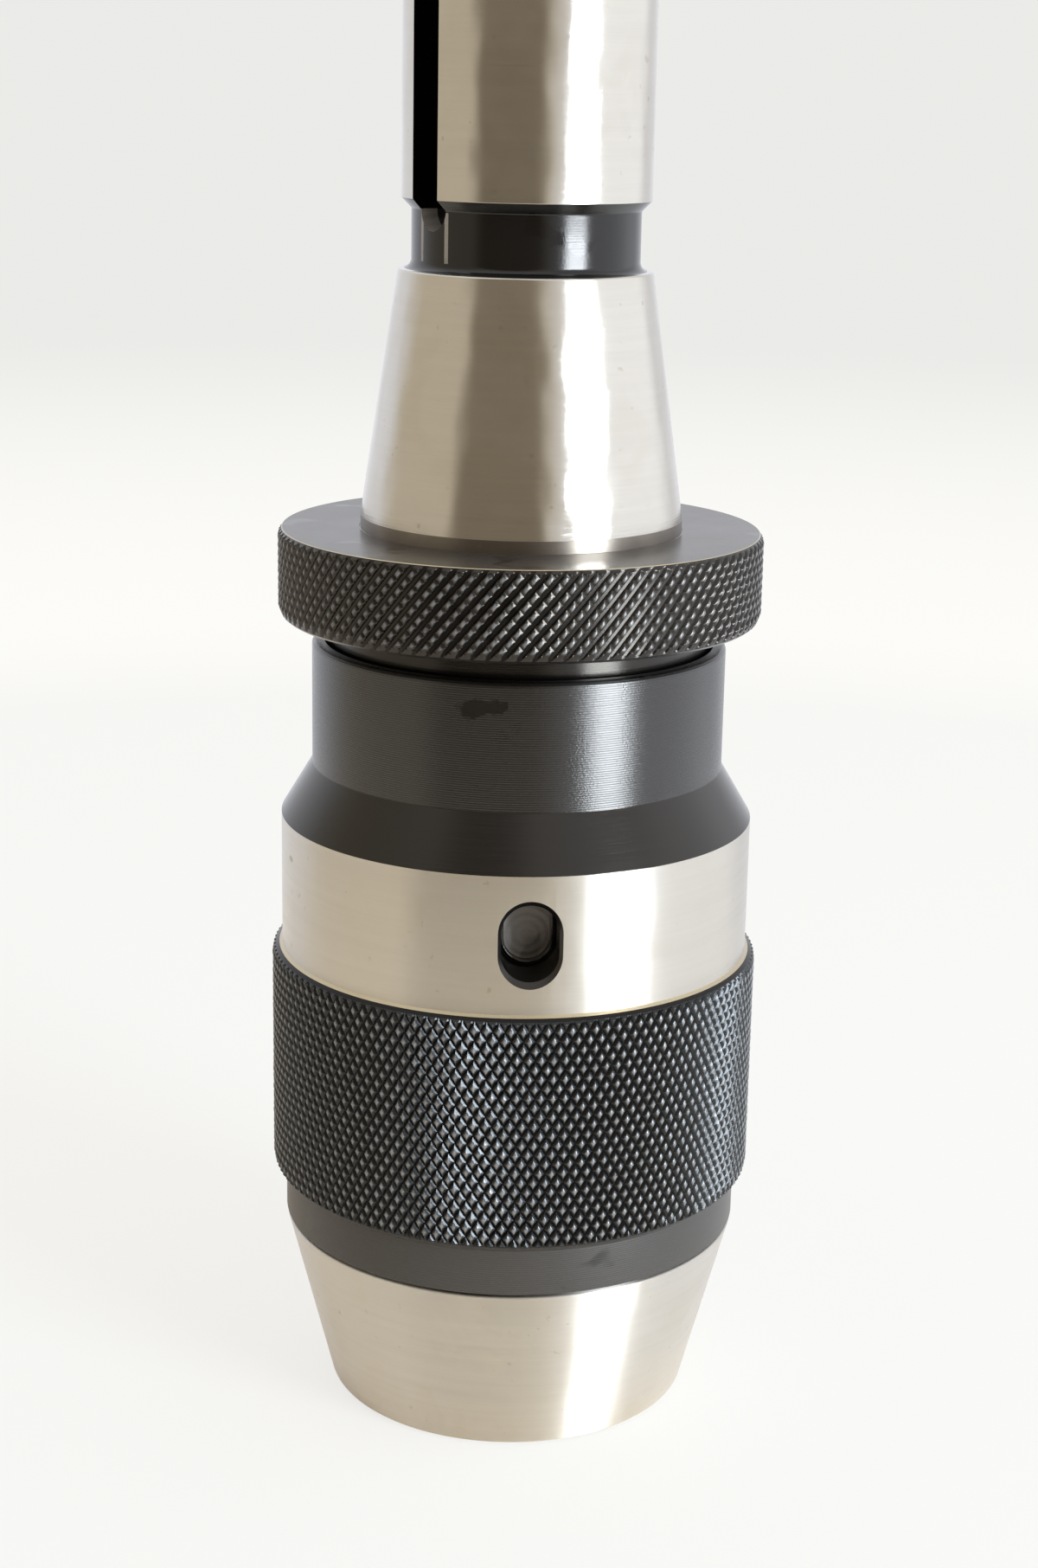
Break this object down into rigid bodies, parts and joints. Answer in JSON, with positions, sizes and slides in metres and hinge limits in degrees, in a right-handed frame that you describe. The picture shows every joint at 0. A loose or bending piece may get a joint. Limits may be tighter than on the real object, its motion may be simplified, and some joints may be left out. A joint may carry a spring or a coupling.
{
  "type": "keyless drill chuck",
  "caption": "Keyless drill chuck on a tapered, keyed shank: knurled sleeve and hand ring, nose hood, inclined jaws driven by a slotted screw, and a thrust ball bearing.",
  "frame": {"origin": "centre of the nose face, on the chuck's axis, at the surface it stands on", "axes": "+Z along the axis from the nose to the shank's end; the spanner slot faces -Y"},
  "size_m": [0.0496, 0.0496, 0.1934],
  "materials": {
    "ground_steel": "hardened, cylindrically ground",
    "black_steel": "turned or knurled, black oxide, oiled",
    "hardened_steel": "hardened and ground",
    "bearing_steel": "polished",
    "bronze": "turned, oiled",
    "rubber": "moulded"
  },
  "bodies": {
    "shank": {"shank_body": "ground_steel", "knurled_ring": "black_steel", "dust_seal": "rubber", "lower_race": "bearing_steel"},
    "bearing": {"ball_cage": "bronze", "ball_01": "bearing_steel", "ball_02": "bearing_steel", "ball_03": "bearing_steel", "ball_04": "bearing_steel", "ball_05": "bearing_steel", "ball_06": "bearing_steel", "ball_07": "bearing_steel", "ball_08": "bearing_steel", "ball_09": "bearing_steel", "ball_10": "bearing_steel", "ball_11": "bearing_steel", "ball_12": "bearing_steel", "ball_13": "bearing_steel", "ball_14": "bearing_steel", "ball_15": "bearing_steel", "ball_16": "bearing_steel"},
    "sleeve": {"outer_sleeve": "black_steel", "upper_bush": "bronze", "upper_race": "bearing_steel", "nose_hood": "ground_steel", "jaw_guide": "hardened_steel"},
    "screw": {"drive_screw": "hardened_steel", "drill_stop": "bearing_steel"},
    "jaw_1": {"jaw_1": "hardened_steel"},
    "jaw_2": {"jaw_2": "hardened_steel"},
    "jaw_3": {"jaw_3": "hardened_steel"}
  },
  "joints": [
    {"name": "sleeve_turn", "type": "hinge", "parent": "shank", "child": "sleeve", "pos_m": [0, 0, 0.05], "axis": [0, 0, 1], "range_deg": [0, 1508.3]},
    {"name": "bearing_roll", "type": "hinge", "parent": "shank", "child": "bearing", "pos_m": [0, 0, 0.0471], "axis": [0, 0, 1], "range_deg": [0, 754.25]},
    {"name": "screw_feed", "type": "slide", "parent": "sleeve", "child": "screw", "axis": [0, 0, -1], "range_m": [0, 0.01676]},
    {"name": "jaw_1_slide", "type": "slide", "parent": "sleeve", "child": "jaw_1", "axis": [0, -0.342, -0.9397], "range_m": [0, 0.01784]},
    {"name": "jaw_2_slide", "type": "slide", "parent": "sleeve", "child": "jaw_2", "axis": [0.2962, 0.171, -0.9397], "range_m": [0, 0.01784]},
    {"name": "jaw_3_slide", "type": "slide", "parent": "sleeve", "child": "jaw_3", "axis": [-0.2962, 0.171, -0.9397], "range_m": [0, 0.01784]}
  ],
  "couplings": [
    {"joint": "bearing_roll", "follows": "sleeve_turn", "ratio": 0.5},
    {"joint": "screw_feed", "follows": "sleeve_turn", "m_per_rad": 0.00063662},
    {"joint": "jaw_1_slide", "follows": "sleeve_turn", "m_per_rad": 0.00067748},
    {"joint": "jaw_2_slide", "follows": "sleeve_turn", "m_per_rad": 0.00067748},
    {"joint": "jaw_3_slide", "follows": "sleeve_turn", "m_per_rad": 0.00067748}
  ]
}
